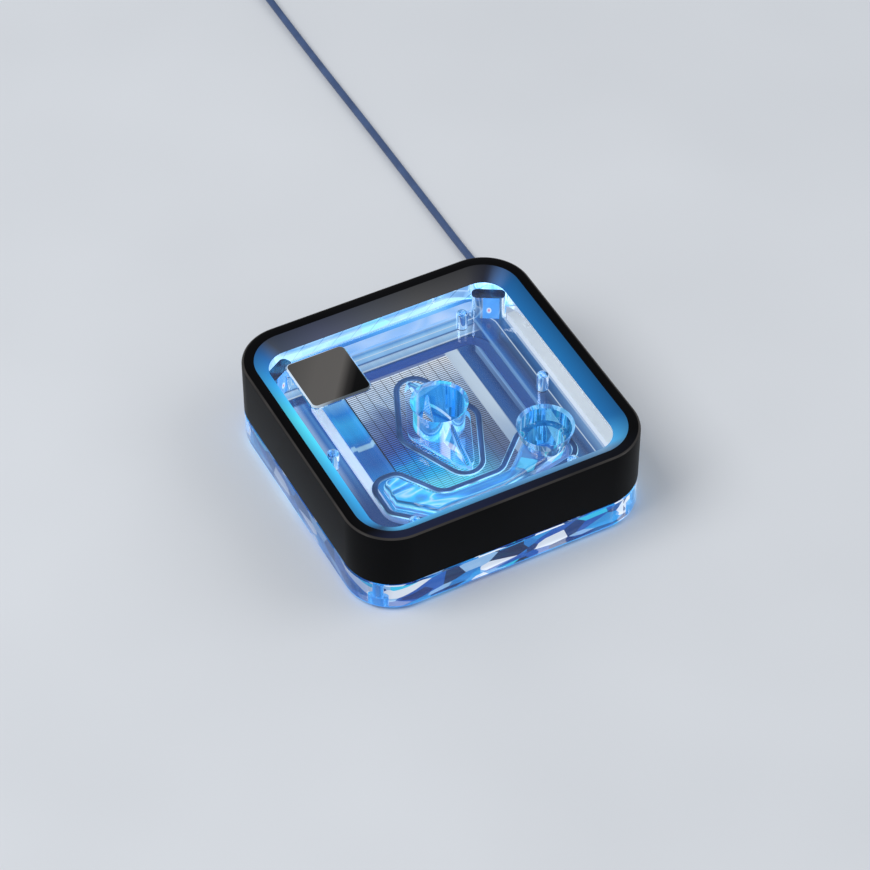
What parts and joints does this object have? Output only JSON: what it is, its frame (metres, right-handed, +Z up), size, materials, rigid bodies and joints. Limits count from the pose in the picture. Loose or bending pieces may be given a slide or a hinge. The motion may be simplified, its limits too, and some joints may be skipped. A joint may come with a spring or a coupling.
{
  "type": "cpu water block",
  "caption": "Square liquid-cooling block with a clear body, black top frame, finned cold plate, two ports and a lighting cable.",
  "frame": {"origin": "centre of the cold plate's contact face, on the plane it rests on", "axes": "+Z up through the ports, -Y towards the side of the outlet port, +X towards the lighting slot"},
  "size_m": [0.1013, 0.2384, 0.023],
  "materials": {
    "frame": "black satin",
    "acrylic": "clear polished acrylic",
    "nickel": "nickel plated copper",
    "gasket": "blue-grey rubber",
    "seal": "pale silicone",
    "screw": "bright steel",
    "badge": "gloss black",
    "cover": "white, matt",
    "board": "white circuit board",
    "led": "lit, pale blue",
    "grommet": "dark rubber",
    "cable": "smooth blue-grey sheath",
    "tie": "black nylon",
    "plug": "white nylon"
  },
  "bodies": {
    "root": {"top_frame": "frame", "clear_top": "acrylic", "cold_plate": "nickel", "inlet_gasket": "gasket", "outlet_gasket": "gasket", "perimeter_seal": "seal", "plate_screw_1": "screw", "plate_screw_2": "screw", "plate_screw_3": "screw", "plate_screw_4": "screw", "plate_screw_5": "screw", "plate_screw_6": "screw", "frame_screw_1": "screw", "frame_screw_2": "screw", "frame_screw_3": "screw", "frame_screw_4": "screw", "badge_plate": "badge", "slot_cover": "cover", "led_board": "board", "led_1": "led", "led_2": "led", "led_3": "led", "led_4": "led", "led_5": "led", "led_6": "led", "corner_led_1": "led", "corner_led_2": "led", "cable_grommet": "grommet", "led_cable": "cable", "cable_coil": "cable", "cable_tail": "cable", "cable_tie": "tie", "cable_plug": "plug"}
  },
  "joints": []
}
